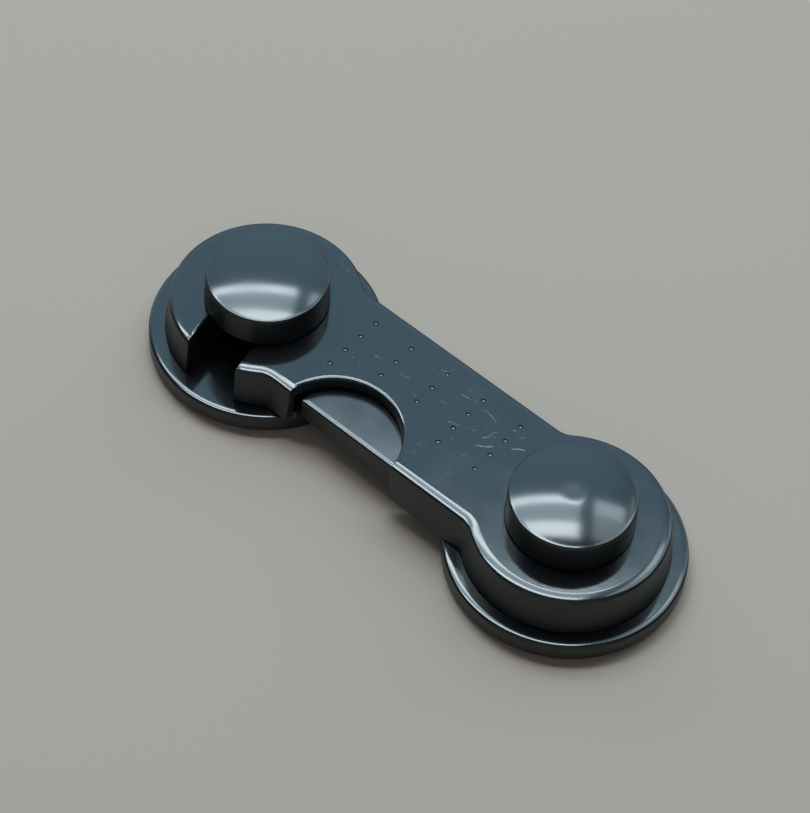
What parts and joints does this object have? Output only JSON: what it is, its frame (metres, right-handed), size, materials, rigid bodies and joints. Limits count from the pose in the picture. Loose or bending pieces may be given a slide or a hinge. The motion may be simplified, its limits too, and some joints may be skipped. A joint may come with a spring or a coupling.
{
  "type": "cabinet safety lock",
  "caption": "Stick-on child safety lock for cabinet doors: an arm swings on one round post and hooks over another, held by a push-tab latch.",
  "frame": {"origin": "midway between the two posts, on the surface that the pads are stuck to", "axes": "+X from the hook post to the pivot post, +Y away from the push tab, +Z out of the cabinet"},
  "size_m": [0.111, 0.042, 0.0198],
  "materials": {
    "black_base": "glossy moulded",
    "black_cap": "glossy moulded",
    "black_arm": "satin moulded, lightly scuffed",
    "black_plate": "satin moulded",
    "black_tab": "satin moulded",
    "screw_steel": "zinc plated",
    "pin_steel": "ground",
    "spring_steel": "drawn wire",
    "foam_tape": "fine closed-cell foam"
  },
  "bodies": {
    "bases": {"left_base": "black_base", "right_base": "black_base", "left_cap": "black_cap", "right_cap": "black_cap", "left_cap_screw": "screw_steel", "right_cap_screw": "screw_steel", "left_foam_pad": "foam_tape", "right_foam_pad": "foam_tape"},
    "arm": {"arm_cover": "black_arm", "arm_bottom_plate": "black_plate", "bottom_plate_screws": "screw_steel", "lever_pivot_pin": "pin_steel", "return_spring": "spring_steel"},
    "lever": {"release_lever": "black_tab"}
  },
  "joints": [
    {"name": "arm_swing", "type": "hinge", "parent": "bases", "child": "arm", "pos_m": [0.0345, 0, 0.0085], "axis": [0, 0, -1], "range_deg": [0, 335]},
    {"name": "tab_press", "type": "hinge", "parent": "arm", "child": "lever", "pos_m": [-0.0246, 0.0049, 0.0079], "axis": [0, 0, 1], "range_deg": [0, 10], "stiffness_Nm_per_rad": 0.3, "springref_deg": -2.86, "deforming": ["return_spring"]}
  ]
}
